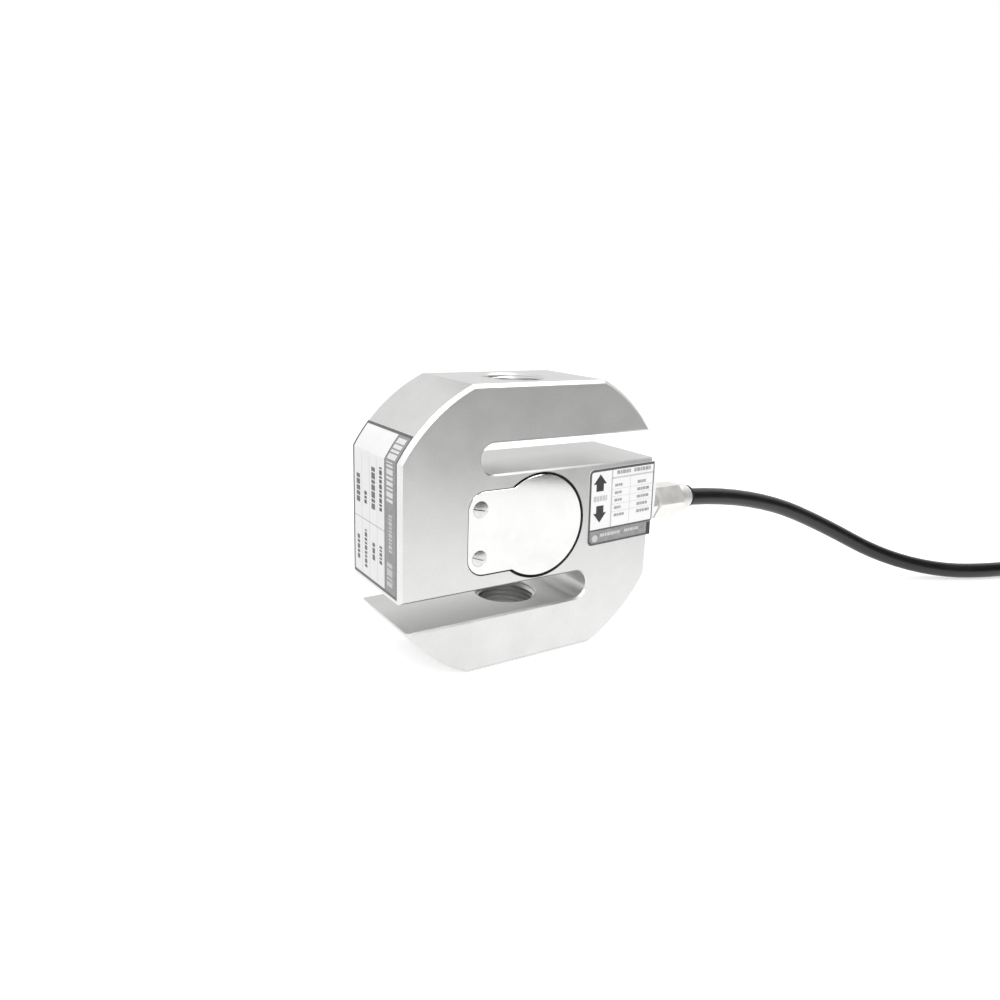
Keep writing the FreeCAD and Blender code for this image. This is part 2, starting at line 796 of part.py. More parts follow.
def main():
    os.makedirs("parts", exist_ok=True)
    save("s_beam_body", make_body())
    cover, gasket, gauge = make_front_cover(), make_front_gasket(), make_front_gauge()
    save("front_cover", cover)
    save("rear_cover", mirrored_to_back(cover))
    save("front_gasket", gasket)
    save("rear_gasket", mirrored_to_back(gasket))
    for (place, x, z), turn in zip(screw_places(), (12.0, 20.0)):
        screw = make_front_screw(x, z, turn)
        save("front_" + place + "_screw", screw)
        save("rear_" + place + "_screw", mirrored_to_back(screw))
    save("front_strain_gauge", gauge)
    save("rear_strain_gauge", mirrored_to_back(gauge))
    save("terminal_board", make_board())
    save("trim_resistors", make_resistors())
    save("front_bridge_wires", make_front_bridge_wires())
    save("rear_bridge_wires", make_rear_bridge_wires())
    save("cable_cores", make_cable_cores())
    save("gland_washer", make_gland_washer())
    save("gland_body", make_gland_body())
    save("gland_nut", make_gland_nut())
    save("gland_seal", make_gland_seal())
    save("rating_label", make_rating_label())
    save("wiring_label", make_wiring_label())
    cable, tail, coil = tube(cable_points, cable_radius), tube(tail_points, cable_radius), make_coil()
    report_route("cable", cable_points, cable)
    report_route("cable_tail", tail_points, tail)
    save("cable_coil", coil)
    save("cable", cable.cut(coil))
    save("cable_tail", tail.cut(coil))
    save("cable_tie", make_tie())
    save("cable_end_sleeve", make_sleeve())
    for name, *place in lead_places:
        save(name, make_lead(*place))
    save("lead_tips", make_lead_tips())


main()
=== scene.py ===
import math

import bmesh
import bpy
from mathutils import Matrix, Vector


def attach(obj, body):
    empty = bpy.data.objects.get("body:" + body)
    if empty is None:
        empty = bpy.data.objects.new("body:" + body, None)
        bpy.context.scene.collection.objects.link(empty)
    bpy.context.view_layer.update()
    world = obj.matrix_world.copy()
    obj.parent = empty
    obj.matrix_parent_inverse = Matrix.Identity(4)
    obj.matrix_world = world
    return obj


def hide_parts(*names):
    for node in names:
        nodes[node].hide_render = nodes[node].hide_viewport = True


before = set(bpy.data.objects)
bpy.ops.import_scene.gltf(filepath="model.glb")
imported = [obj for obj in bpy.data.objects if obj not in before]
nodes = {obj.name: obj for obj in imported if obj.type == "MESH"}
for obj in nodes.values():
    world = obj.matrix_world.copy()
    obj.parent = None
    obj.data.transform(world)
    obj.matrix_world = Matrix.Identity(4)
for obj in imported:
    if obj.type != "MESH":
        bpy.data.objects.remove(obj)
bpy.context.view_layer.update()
mm = 0.001
print("frame loaded,", len(nodes), "nodes")

camera = {
    "lens": 28.41,
    "sensor": 36.0,
    "place": (-124.3, -186.9, 102.4),
    "target": (-3.05, 0.0, 44.21),
    "roll": 2.01,  # degrees
    "near": 0.01,  # clip distances, in metres
    "far": 20,
}


def makeCamera():
    data = bpy.data.cameras.new("camera")
    data.lens, data.sensor_width = camera["lens"], camera["sensor"]
    data.clip_start, data.clip_end = camera["near"], camera["far"]
    place, target = Vector(camera["place"]) * mm, Vector(camera["target"]) * mm
    ahead = (target - place).normalized()
    right = ahead.cross(Vector((0, 0, 1))).normalized()
    up = right.cross(ahead)
    turn = Matrix.Rotation(math.radians(-camera["roll"]), 3, ahead)
    right, up = turn @ right, turn @ up
    piece = bpy.data.objects.new("camera", data)
    piece.matrix_world = Matrix((right, up, -ahead)).transposed().to_4x4()
    piece.location = place
    bpy.context.scene.collection.objects.link(piece)
    bpy.context.scene.camera = piece


makeCamera()
print("camera placed")


def linear(hexColour):
    channels = [int(hexColour[i:i + 2], 16) / 255 for i in (1, 3, 5)]
    channels = [c / 12.92 if c <= 0.04045 else ((c + 0.055) / 1.055) ** 2.4 for c in channels]
    return (*channels, 1.0)


def addNode(tree, kind, settings=None, inputs=None):
    node = tree.nodes.new(kind)
    for name, value in (settings or {}).items():
        setattr(node, name, value)
    for name, value in (inputs or {}).items():
        if isinstance(value, bpy.types.NodeSocket):
            tree.links.new(value, node.inputs[name])
        else:
            node.inputs[name].default_value = value
    return node


def newMaterial(name):
    material = bpy.data.materials.new(name)
    material.use_nodes = True
    tree = material.node_tree
    return material, tree, tree.nodes["Principled BSDF"]


# what a finish has unless it says otherwise
plainFinish = {"metallic": 0.0, "grainShare": 0.4, "bump": 0.1, "bumpDepth": 0.02, "drift": (0.35, 0.65)}


def mottled(name, settings):
    # a surface whose colour and roughness drift a little, with fine grain in its bump
    finish = {**plainFinish, **settings}
    low, high = finish["drift"]
    material, tree, shader = newMaterial(name)
    place = addNode(tree, "ShaderNodeTexCoord").outputs["Object"]
    patch = addNode(tree, "ShaderNodeTexNoise", {"noise_dimensions": "3D"},
                    {"Vector": place, "Scale": 1 / (finish["patch"] * mm), "Detail": 3.0})
    grain = addNode(tree, "ShaderNodeTexNoise", {"noise_dimensions": "3D"},
                    {"Vector": place, "Scale": 1 / (finish["grain"] * mm), "Detail": 2.0,
                     "Roughness": 0.6})
    grainPart = addNode(tree, "ShaderNodeMath", {"operation": "MULTIPLY"},
                        {0: grain.outputs["Fac"], 1: finish["grainShare"]})
    share = addNode(tree, "ShaderNodeMath", {"operation": "MULTIPLY_ADD", "use_clamp": True},
                    {0: patch.outputs["Fac"], 1: 1 - finish["grainShare"], 2: grainPart.outputs[0]})
    spread = addNode(tree, "ShaderNodeMapRange", {"clamp": True},
                     {"Value": share.outputs[0], "From Min": low, "From Max": high})
    colour = addNode(tree, "ShaderNodeMix", {"data_type": "RGBA"},
                     {0: spread.outputs[0], 6: linear(finish["dark"]), 7: linear(finish["light"])})
    tree.links.new(colour.outputs[2], shader.inputs["Base Color"])
    rough = addNode(tree, "ShaderNodeMapRange", {"clamp": True},
                    {"Value": share.outputs[0], "From Min": low, "From Max": high,
                     "To Min": finish["rough"][0], "To Max": finish["rough"][1]})
    tree.links.new(rough.outputs[0], shader.inputs["Roughness"])
    bump = addNode(tree, "ShaderNodeBump", None,
                   {"Height": grain.outputs["Fac"], "Strength": finish["bump"],
                    "Distance": finish["bumpDepth"] * mm})
    tree.links.new(bump.outputs[0], shader.inputs["Normal"])
    shader.inputs["Metallic"].default_value = finish["metallic"]
    return material


# patch and grain are the sizes of the cloud and of the grain, and bumpDepth its height, in mm
finishes = {
    # electroless nickel on ground steel: a soft grey sheen with a faint cloud in it
    "satinNickel": {"light": "#DEDEDD", "dark": "#D2D2D1", "rough": (0.32, 0.40), "patch": 9.0,
                    "grain": 0.6, "bump": 0.12, "bumpDepth": 0.02, "metallic": 1.0},
    # smooth nickel plate: paler and shinier than the body, so it mirrors the edge of a dark card
    "smoothNickel": {"light": "#E3E3E2", "dark": "#D9D9D8", "rough": (0.09, 0.14), "patch": 6.0,
                     "grain": 0.5, "bump": 0.15, "bumpDepth": 0.02, "metallic": 1.0},
    # pearl nickel on turned brass: almost white, with no clear reflections
    "pearlNickel": {"light": "#F6F5F3", "dark": "#ECEBE8", "rough": (0.56, 0.66), "patch": 3.0,
                     "grain": 0.4, "bump": 0.05, "bumpDepth": 0.01, "metallic": 1.0},
    # plated screw steel: hard little glints
    "platedSteel": {"light": "#DCDCDA", "dark": "#CACAC8", "rough": (0.22, 0.32), "patch": 1.2,
                    "grain": 0.3, "bump": 0.08, "bumpDepth": 0.01, "metallic": 1.0},
    # nitrile rubber: a dull black that takes little light
    "nitrileRubber": {"light": "#1E1E1E", "dark": "#151515", "rough": (0.62, 0.78), "patch": 2.0,
                      "grain": 0.4, "bump": 0.25, "bumpDepth": 0.03},
    # extruded flexible PVC: a soft gloss line along a black jacket
    "flexiblePvc": {"light": "#161617", "dark": "#0E0E0F", "rough": (0.30, 0.40), "patch": 6.0,
                    "grain": 0.5, "bump": 0.15, "bumpDepth": 0.02},
    # moulded nylon: an even black, a shade glossier than rubber
    "mouldedNylon": {"light": "#1C1C1D", "dark": "#141415", "rough": (0.38, 0.5), "patch": 3.0,
                     "grain": 0.4, "bump": 0.15, "bumpDepth": 0.02},
    # cross-linked polyolefin, shrunk on: a matt black with a wrinkled skin
    "shrunkSleeve": {"light": "#1A1A1B", "dark": "#121213", "rough": (0.45, 0.58), "patch": 2.0,
                     "grain": 0.5, "bump": 0.3, "bumpDepth": 0.04},
    # coloured PVC of the leads: plain colours with a soft shine
    "redPvc": {"light": "#B3201C", "dark": "#9E1A17", "rough": (0.35, 0.45), "patch": 2.0, "grain": 0.4},
    "whitePvc": {"light": "#E9E8E3", "dark": "#DDDCD6", "rough": (0.35, 0.45), "patch": 2.0, "grain": 0.4},
    "greenPvc": {"light": "#1E7A3C", "dark": "#196B33", "rough": (0.35, 0.45), "patch": 2.0, "grain": 0.4},
    "blackPvc": {"light": "#1D1D1E", "dark": "#141415", "rough": (0.35, 0.45), "patch": 2.0, "grain": 0.4},
    # tinned copper strand: dull silver
    "tinnedCopper": {"light": "#CBC8C2", "dark": "#B4B1AA", "rough": (0.3, 0.45), "patch": 1.0,
                     "grain": 0.25, "bump": 0.3, "bumpDepth": 0.03, "metallic": 1.0},
    # silver-white vinyl under a clear film
    "labelVinyl": {"light": "#FAFAFA", "dark": "#F4F4F4", "rough": (0.28, 0.36), "patch": 5.0,
                   "grain": 0.5, "bump": 0.05, "bumpDepth": 0.01},
    # screen inks, flat and dull: deep grey lettering, dark borders, mid-grey bands, soft small
    # print, pale rules and near-white marks
    "darkInk": {"light": "#3C3C3D", "dark": "#2C2C2D", "rough": (0.34, 0.44), "patch": 1.5, "grain": 0.35},
    "borderInk": {"light": "#626263", "dark": "#505051", "rough": (0.34, 0.44), "patch": 2.0, "grain": 0.35},
    "greyInk": {"light": "#A2A2A3", "dark": "#868687", "rough": (0.34, 0.44), "patch": 1.2, "grain": 0.35},
    "softInk": {"light": "#B4B4B4", "dark": "#9A9A9A", "rough": (0.34, 0.44), "patch": 0.8, "grain": 0.3},
    "paleInk": {"light": "#D2D2D2", "dark": "#C2C2C2", "rough": (0.34, 0.44), "patch": 1.5, "grain": 0.35},
    "whiteInk": {"light": "#F0F0F0", "dark": "#DCDCDC", "rough": (0.34, 0.44), "patch": 1.0, "grain": 0.35},
    # polyimide foil: a clear amber
    "polyimide": {"light": "#C58A3A", "dark": "#AE772E", "rough": (0.3, 0.4), "patch": 2.0, "grain": 0.3},
    # solder mask: a glossy board green
    "solderMask": {"light": "#1D6B3A", "dark": "#175A30", "rough": (0.3, 0.4), "patch": 2.0, "grain": 0.3},
    # chip resistor: a black ceramic
    "chipResistor": {"light": "#202021", "dark": "#171718", "rough": (0.4, 0.5), "patch": 0.8, "grain": 0.2},
    # enamelled wire: copper under a clear brown
    "enamelledWire": {"light": "#B5642B", "dark": "#9C5422", "rough": (0.25, 0.35), "patch": 1.0,
                      "grain": 0.2, "metallic": 1.0},
    # core PVC: an off-white with a soft shine
    "corePvc": {"light": "#DDDCD8", "dark": "#CFCEC9", "rough": (0.35, 0.45), "patch": 2.0, "grain": 0.4},
}
materials = {name: mottled(name, finish) for name, finish in finishes.items()}
print("materials made,", len(materials))

# the nodes whose shape stays as it is
nodeFinishes = {
    "s_beam_body": "satinNickel",
    "front_cover": "smoothNickel", "rear_cover": "smoothNickel",
    "front_gasket": "nitrileRubber", "rear_gasket": "nitrileRubber",
    "front_upper_screw": "platedSteel", "front_lower_screw": "platedSteel",
    "rear_upper_screw": "platedSteel", "rear_lower_screw": "platedSteel",
    "front_strain_gauge": "polyimide", "rear_strain_gauge": "polyimide",
    "terminal_board": "solderMask", "trim_resistors": "chipResistor",
    "front_bridge_wires": "enamelledWire", "rear_bridge_wires": "enamelledWire",
    "cable_cores": "corePvc",
    "gland_washer": "pearlNickel", "gland_body": "pearlNickel", "gland_nut": "pearlNickel",
    "gland_seal": "nitrileRubber",
    "rating_label": "labelVinyl", "wiring_label": "labelVinyl",
    "cable_tie": "mouldedNylon", "cable_end_sleeve": "shrunkSleeve",
    "lead_red": "redPvc", "lead_white": "whitePvc", "lead_shield": "tinnedCopper",
    "lead_green": "greenPvc", "lead_black": "blackPvc", "lead_tips": "tinnedCopper",
}
for name, finish in nodeFinishes.items():
    nodes[name].data.materials.clear()
    nodes[name].data.materials.append(materials[finish])
print("nodes finished,", len(nodeFinishes))

cordRoute = {
    "diameter": 5.6,
    "length": 3000.0,
    "run": [
        (52.0, -8.0, 40.0), (71.0, -8.0, 40.0), (106.0, -9.0, 33.8), (133.0, -13.0, 22.8),
        (159.0, -22.0, 9.0), (182.0, -34.5, 2.9), (205.0, -44.9, 2.9), (233.0, -49.7, 2.9),
        (266.0, -50.1, 2.9), (302.0, -46.9, 2.9), (338.0, -48.8, 3.1), (373.9, -50.1, 3.8),
    ],
    "tail": [
        (361.3, 11.3, 32.3), (343.2, 2.9, 30.4), (328.7, -9.0, 20.6), (316.0, -21.0, 9.6),
        (301.0, -27.5, 4.7), (283.5, -30.0, 3.5),
    ],
}
coil = {
    "centre": (375.0, -17.9),
    "lanes": (32.2, 26.5, 20.8),  # outermost first
    "layers": (3.8, 9.5, 15.2, 20.9, 26.6, 32.3),
    "start": 268.0,  # degrees, where the run meets the outermost lane
    "shift": 50.0,  # degrees of turn in which the cable moves to the next lane or layer
    "step": 26.0,  # degrees between points, before rounding
    "lastTurns": 2,
}


def coilLegs():
    # degrees of turn, radius and height at the end of each leg, wound inwards and outwards by turns
    shift, lanes, layers = coil["shift"], coil["lanes"], coil["layers"]
    legs = []
    for layer, height in enumerate(layers):
        order = lanes if layer % 2 == 0 else lanes[::-1]
        firstTurn = 360 - shift if layer == 0 else 360 - 2 * shift
        for i, radius in enumerate(order):
            whole = firstTurn if i == 0 else 360 - shift
            if height == layers[-1] and i == coil["lastTurns"] - 1:
                return legs, height
            if i == len(order) - 1:
                legs.append((whole - shift, radius, height))
                legs.append((shift, radius, layers[layer + 1]))
            else:
                legs.append((whole, radius, height))
                legs.append((shift, order[i + 1], height))
    return legs, height


def coilPoints(endAngle):
    # the last turn ends where the tail starts
    legs, topHeight = coilLegs()
    turned = sum(leg[0] for leg in legs)
    legs.append(((endAngle - coil["start"] - turned) % 360, coil["lanes"][0], topHeight))
    angle, atRadius, atHeight = coil["start"], coil["lanes"][0], coil["layers"][0]
    points = []
    for turn, radius, height in legs:
        count = max(1, round(turn / coil["step"]))
        # points a little outside the turn, so that the rounded cable runs on it
        outside = math.cos(math.radians(turn / count / 2))
        for i in range(1, count + 1):
            share = i / count
            a = math.radians(angle + turn * share)
            out = (atRadius + (radius - atRadius) * share) / outside
            points.append((coil["centre"][0] + out * math.cos(a), coil["centre"][1] + out * math.sin(a),
                           atHeight + (height - atHeight) * share))
        angle, atRadius, atHeight = angle + turn, radius, height
    return points[:-1]


def makeCord():
    data = bpy.data.curves.new("signalCable", "CURVE")
    data.dimensions = "3D"
    data.bevel_depth = cordRoute["diameter"] / 2 * mm
    data.bevel_resolution = 5
    data.use_fill_caps = True
    data.resolution_u = 5
    first = cordRoute["tail"][0]
    endAngle = math.degrees(math.atan2(first[1] - coil["centre"][1], first[0] - coil["centre"][0]))
    points = cordRoute["run"] + coilPoints(endAngle) + cordRoute["tail"]
    spline = data.splines.new("NURBS")
    spline.points.add(len(points) - 1)
    for point, place in zip(spline.points, points):
        point.co = (*(Vector(place) * mm), 1.0)
    spline.order_u = 3
    spline.use_endpoint_u = True
    piece = bpy.data.objects.new("signalCable", data)
    bpy.context.scene.collection.objects.link(piece)
    data.materials.append(materials["flexiblePvc"])
    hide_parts("cable", "cable_coil", "cable_tail")
    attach(piece, "root")
    return len(points)


print("cord made of", makeCord(), "points")


def finishMesh(bm, name, finish, smoothAngle=35.0):
    bmesh.ops.scale(bm, vec=(mm, mm, mm), verts=bm.verts)
    data = bpy.data.meshes.new(name)
    bm.to_mesh(data)
    bm.free()
    data.shade_smooth()
    data.set_sharp_from_angle(angle=math.radians(smoothAngle))
    data.materials.append(materials[finish])
    piece = bpy.data.objects.new(name, data)
    bpy.context.scene.collection.objects.link(piece)
    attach(piece, "root")
    return piece


thread = {
    "major": 9.0,
    "minor": 8.19,
    "pitch": 1.5,
    "depths": (0.6, 15.3),  # from the outer face to the slot
    "mouthRadius": 9.9,
    "innerRadius": 9.4,
    "armHeight": 15.5,
    "sunk": 0.02,  # how far a trimmed ridge goes into the wall
    "steps": 64,  # in a turn
}


def makeThread(name, outerFace, upwards):
    # the ridge's profile runs one pitch up the wall and winds past both ends, which are cut off
    bm = bmesh.new()
    pitch, major, minor = thread["pitch"], thread["major"], thread["minor"]
    profile = [(major, 0), (major, 0.125), (minor, 0.4375), (minor, 0.6875), (major, 1)]
    verts = [bm.verts.new((r, 0, (share - 1) * pitch)) for r, share in profile]
    edges = [bm.edges.new(pair) for pair in zip(verts, verts[1:])]
    turns = math.ceil((thread["depths"][1] + pitch) / pitch) + 1
    bmesh.ops.spin(bm, geom=verts + edges, cent=(0, 0, 0), axis=(0, 0, 1),
                   dvec=(0, 0, pitch / thread["steps"]), angle=math.tau * turns,
                   steps=thread["steps"] * turns, use_merge=False, use_duplicate=False)
    bmesh.ops.remove_doubles(bm, verts=bm.verts, dist=0.001)
    for depth, outwards in zip(thread["depths"], (-1, 1)):
        bmesh.ops.bisect_plane(bm, geom=bm.verts[:] + bm.edges[:] + bm.faces[:], dist=1e-5,
                               plane_co=(0, 0, depth), plane_no=(0, 0, outwards), clear_outer=True)
    for vert in bm.verts:  # the chamfers cut the ends of the ridges
        radius = vert.co.xy.length
        room = max(thread["mouthRadius"] - vert.co.z,
                   thread["innerRadius"] - (thread["armHeight"] - vert.co.z))
        if radius < room:
            vert.co.xy *= min(room, major + thread["sunk"]) / radius
    bmesh.ops.scale(bm, vec=(1, 1, 1 if upwards else -1), verts=bm.verts)
    bmesh.ops.translate(bm, vec=(0, 0, outerFace), verts=bm.verts)
    bmesh.ops.recalc_face_normals(bm, faces=bm.faces)
    # the skin looks inwards, towards the axis
    face = bm.faces[0]
    if face.normal.dot(Vector((*face.calc_center_median().xy, 0))) > 0:
        bmesh.ops.reverse_faces(bm, faces=bm.faces)
    finishMesh(bm, name, "satinNickel", 25.0)


makeThread("lowerThread", 0.0, True)
makeThread("upperThread", 80.0, False)
print("threads cut")


def addPlate(bm, x0, x1, z0, z1, lift):
    # a printed patch, laid out in the label's own plane: across, up, and its height above the label
    place = Matrix.Translation(((x0 + x1) / 2, -lift / 2, (z0 + z1) / 2))
    bmesh.ops.create_cube(bm, size=1.0, matrix=place @ Matrix.Diagonal((x1 - x0, lift, z1 - z0, 1)))


def addShape(bm, points, lift):
    face = bm.faces.new([bm.verts.new((x, 0, z)) for x, z in points])
    made = bmesh.ops.extrude_face_region(bm, geom=[face])
    bmesh.ops.translate(bm, vec=(0, -lift, 0),
                        verts=[v for v in made["geom"] if isinstance(v, bmesh.types.BMVert)])
    bmesh.ops.recalc_face_normals(bm, faces=bm.faces)


def addDashes(bm, x0, x1, z0, z1, lengths, gap, lift, alongZ=False):
    # a line of short marks that stands for print too small to read
    shortest = 0.2
    start, end = (z0, z1) if alongZ else (x0, x1)
    at, i = start, 0
    while at < end - shortest:
        stop = min(at + lengths[i % len(lengths)], end)
        if alongZ:
            addPlate(bm, x0, x1, at, stop, lift)
        else:
            addPlate(bm, at, stop, z0, z1, lift)
        at, i = stop + gap, i + 1


# heights of the inks above the label, and the label's bare rim
ink = {"line": 0.03, "mark": 0.045, "over": 0.06, "inset": 0.05}
wiring = {
    # outline and surface of the label, then its slight turn about its middle
    "left": 17.9, "right": 43.0, "bottom": 31.2, "top": 54.3, "edge": 42.5, "surface": -15.15,
    "turn": 1.7, "turnX": 30.2, "turnZ": 42.75, "lift": 0.3,
    "border": 0.8, "footBorder": 0.7, "sideBorder": 0.45, "corner": 1.6,
    "bandTop": 35.8, "bandLine": 0.5, "endPatch": 40.9,
    # colour table: its rules, titles and two columns of marks, each as its start, the widths down
    # the rows, half the height and the lengths that repeat
    "divider": 26.4, "columnDivider": 33.5, "header": 51.0,
    "rule": 0.44, "columnRule": 0.12, "rowRule": 0.1,
    "rows": (48.7, 46.4, 44.1, 41.8, 39.5), "rowHeight": 2.3,
    "titles": [(28.2, 33.4, (1.1, 0.5, 1.3, 0.8)), (34.8, 41.6, (0.9, 1.2, 0.6))],
    "titleHeight": (52.0, 53.1),
    "columns": [(27.6, (3.0, 2.6, 3.2, 2.5, 3.9), 0.4, (1.1, 0.5, 0.8)),
                (36.4, (3.2, 4.9, 4.6, 4.2, 5.2), 0.45, (1.3, 0.6, 0.9))],
    "smallGap": 0.2, "titleGap": 0.22,
    # load arrows, pointing away from the marks between them
    "arrow": [(0, 2.9), (2.4, 0.0), (1.35, 0.0), (1.35, -2.2), (-1.35, -2.2), (-1.35, 0.0), (-2.4, 0.0)],
    "upArrow": (21.9, 49.8), "downArrow": (22.1, 41.0),
    "loadMarks": (19.7, 24.7, 44.6, 46.2), "loadLengths": (1.0, 0.7), "loadGap": 0.25,
    # marks on the band
    "dot": (20.6, 33.3, 1.1),
    "bandMarks": [(22.6, 30.6, 33.5, 34.5, (1.6, 0.7, 1.1)), (32.0, 37.6, 33.6, 34.5, (1.2, 0.6))],
    "bandGap": 0.18,
}


def addWiringBorder(border, grey, dark):
    w, inset = wiring, ink["inset"]
    left, right, bottom, top, corner = w["left"], w["right"], w["bottom"], w["top"], w["corner"]
    cutEdge = w["edge"] - inset
    addPlate(border, left + corner, right - 0.15, top - w["border"], top - inset, ink["line"])
    addPlate(border, left + inset, left + w["border"], bottom + corner, top - corner, ink["line"])
    addPlate(border, left + corner, cutEdge, bottom + inset, bottom + w["footBorder"], ink["line"])
    addPlate(border, left + inset, cutEdge, w["bandTop"] - w["bandLine"] / 2,
             w["bandTop"] + w["bandLine"] / 2, ink["mark"])
    addPlate(border, right - w["sideBorder"], right - 0.1, w["bandTop"], top - w["border"], ink["line"])
    addPlate(grey, left + w["border"], cutEdge, bottom + w["footBorder"], w["bandTop"], ink["line"])
    addPlate(dark, w["endPatch"], w["edge"] - 0.1, bottom + 0.2, w["bandTop"] - 0.5, ink["mark"])
    for z, turn in ((top - corner, 90), (bottom + corner, 180)):
        arc = [(left + corner + r * math.cos(math.radians(a)), z + r * math.sin(math.radians(a)))
               for r, angles in ((corner - inset, range(turn, turn + 91, 15)),
                                 (corner - w["border"], range(turn + 90, turn - 1, -15)))
               for a in angles]
        addShape(border, arc, ink["line"])


def addColourTable(soft, pale):
    w = wiring
    tableTop, tableRight = w["top"] - w["border"], w["right"] - 0.5
    half, columnHalf, rowHalf = w["rule"] / 2, w["columnRule"] / 2, w["rowRule"] / 2
    addPlate(pale, w["divider"] - half, w["divider"] + half, w["bandTop"], tableTop, ink["line"])
    addPlate(pale, w["divider"], tableRight, w["header"] - half, w["header"] + half, ink["line"])
    addPlate(pale, w["columnDivider"] - columnHalf, w["columnDivider"] + columnHalf, w["bandTop"],
             w["header"], ink["line"])
    for middle in w["rows"][:-1]:
        z = middle - w["rowHeight"] / 2
        addPlate(pale, w["divider"], tableRight, z - rowHalf, z + rowHalf, ink["line"])
    for x0, x1, lengths in w["titles"]:
        addDashes(soft, x0, x1, *w["titleHeight"], lengths, w["titleGap"], ink["mark"])
    for start, widths, half, lengths in w["columns"]:
        for z, width in zip(w["rows"], widths):
            addDashes(soft, start, start + width, z - half, z + half, lengths, w["smallGap"], ink["mark"])


def makeWiringPrint():
    w = wiring
    border, grey, dark, soft, pale = (bmesh.new() for _ in range(5))
    addWiringBorder(border, grey, dark)
    addColourTable(soft, pale)
    for (x, z), way in ((w["upArrow"], 1), (w["downArrow"], -1)):
        addShape(dark, [(x + across, z + way * up) for across, up in w["arrow"][::way]], ink["mark"])
    addDashes(pale, *w["loadMarks"], w["loadLengths"], w["loadGap"], ink["mark"])
    x, z, radius = w["dot"]
    place = Matrix.Translation((x, -ink["over"], z)) @ Matrix.Rotation(math.pi / 2, 4, "X")
    bmesh.ops.create_circle(pale, cap_ends=True, segments=20, radius=radius, matrix=place)
    for x0, x1, z0, z1, lengths in w["bandMarks"]:
        addDashes(pale, x0, x1, z0, z1, lengths, w["bandGap"], ink["over"])
    for name, bm, finish in (("wiringBorder", border, "borderInk"), ("wiringBand", grey, "greyInk"),
                             ("wiringArrows", dark, "darkInk"), ("wiringMarks", soft, "softInk"),
                             ("wiringRules", pale, "paleInk")):
        bmesh.ops.rotate(bm, cent=(w["turnX"], 0, w["turnZ"]), verts=bm.verts,
                         matrix=Matrix.Rotation(math.radians(w["turn"]), 3, (0, -1, 0)))
        bmesh.ops.translate(bm, vec=(0, w["surface"], w["lift"]), verts=bm.verts)
        finishMesh(bm, name, finish)


makeWiringPrint()

rating = {
    # outline of the label, laid out flat, and the body's flat and curve that it lies on
    "halfWidth": 14.0, "bottom": 24.9, "fold": 61.0, "rise": 8.0, "thickness": 0.15,
    "flatX": 42.5, "arcRadius": 46.5, "topHalf": 21.5, "sideHalf": 21.0, "middle": 40.0,
    "border": 0.85, "bandWidth": 7.4, "bandEdge": 0.45, "outerEdge": 0.6,
    # table: rules across and along
    "columnRules": (-8.1, -3.0, 1.9), "columnRule": 0.1, "split": 41.8, "splitRule": 0.3,
    # values above the split, as ink, place, half width, start, end and lengths
    "values": [("border", -10.5, 1.1, 45.9, 54.3, (1.5, 1.1, 1.3)),
               ("dark", -5.6, 0.75, 46.4, 50.2, (1.0, 0.7)),
               ("border", -0.5, 1.1, 46.0, 57.4, (1.5, 0.9, 1.7)),
               ("dark", 4.2, 0.75, 46.6, 58.3, (0.9, 0.6, 1.2))],
    "valueGap": 0.35,
    # titles below it, as place, start, end and lengths
    "titles": [(-10.6, 29.4, 36.4, (1.3, 0.8)), (-5.6, 28.2, 39.0, (0.8, 1.2, 0.6)),
               (-0.4, 31.8, 36.6, (1.5,)), (4.2, 32.0, 37.0, (0.9, 0.5))],
    "titleHalf": 0.75, "titleGap": 0.4,
    # marks on the band, as ink, distances from its two sides, start, end, lengths and gap
    "bandMarks": [("white", 1.1, 1.7, 61.4, 67.4, (1.5, 0.7, 1.1), 0.4),
                  ("white", 1.3, 2.4, 50.3, 60.8, (0.8, 1.4, 0.6, 1.1), 0.5),
                  ("pale", 2.6, 2.9, 37.0, 47.2, (0.6, 1.0, 0.5), 0.35),
                  ("pale", 1.6, 2.6, 27.6, 34.0, (1.3, 0.6, 1.9), 0.5)],
}


def cornerArc():
    # centre of the corner's curve above mid-height, and the angle at which it meets the side flat
    r = rating
    ax, az, bx, bz = r["topHalf"], r["middle"], r["flatX"], r["sideHalf"]
    chord = math.hypot(bx - ax, bz - az)
    toCentre = math.sqrt(r["arcRadius"] ** 2 - (chord / 2) ** 2)
    cx = (ax + bx) / 2 + (bz - az) / chord * toCentre
    cz = (az + bz) / 2 + (ax - bx) / chord * toCentre
    return cx, cz, math.atan2(bz - cz, bx - cx)


def foldOntoBody(bm):
    # the print is laid out flat (x across towards the front, z up the label) and wrapped on
    r = rating
    cx, cz, atSide = cornerArc()
    cut = r["fold"]
    while cut < r["fold"] + r["rise"]:
        bmesh.ops.bisect_plane(bm, geom=bm.verts[:] + bm.edges[:] + bm.faces[:], dist=1e-5,
                               plane_co=(0, 0, cut), plane_no=(0, 0, 1))
        cut += 1.0
    for vert in bm.verts:
        across, lift, up = vert.co.x, r["thickness"] - vert.co.y, vert.co.z
        past = up - r["fold"]
        if past > 1e-4:
            angle = atSide + past / r["arcRadius"]
            reach = r["arcRadius"] + lift
            vert.co = (-(cx + reach * math.cos(angle)), -across, r["middle"] + cz + reach * math.sin(angle))
        else:
            mitre = lift * math.tan(atSide / 2) if past > -1e-4 else 0
            vert.co = (-r["flatX"] - lift, -across, up + mitre)
    bmesh.ops.recalc_face_normals(bm, faces=bm.faces)


